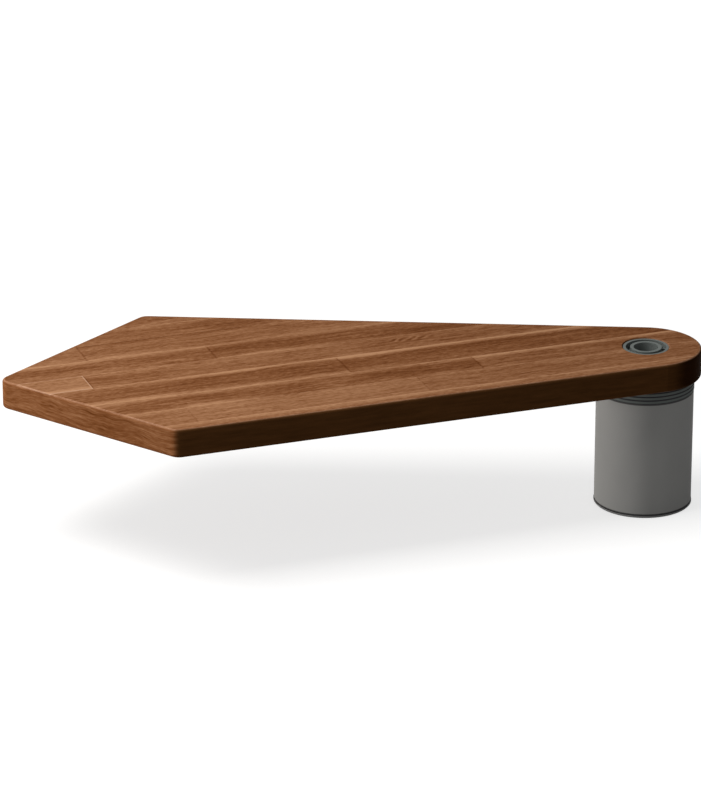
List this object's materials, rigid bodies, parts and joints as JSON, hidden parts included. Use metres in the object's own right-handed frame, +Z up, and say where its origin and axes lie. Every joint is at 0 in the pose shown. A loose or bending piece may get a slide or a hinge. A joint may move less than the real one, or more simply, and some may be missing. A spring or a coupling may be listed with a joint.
{
  "type": "spiral stair step",
  "caption": "Kite-shaped wooden corner tread with a round hub, carried on a short steel column tube with spacer rings and a flat foot disc.",
  "frame": {"origin": "on the column's axis at the underside of the foot disc", "axes": "+Z up along the column, the tread reaches along -X to the outer corner of the stair, +Y across the tread"},
  "size_m": [0.9059, 0.41, 0.215],
  "materials": {
    "stained_wood": "walnut stain under satin lacquer",
    "coated_steel": "satin powder coat",
    "disc_plastic": "moulded, matt",
    "foot_plastic": "moulded, matt"
  },
  "bodies": {
    "root": {"tread": "stained_wood", "tread_disc": "disc_plastic", "adjusting_ring_1": "disc_plastic", "adjusting_ring_2": "disc_plastic", "adjusting_ring_3": "disc_plastic", "column_tube": "coated_steel", "foot_disc": "foot_plastic"}
  },
  "joints": []
}
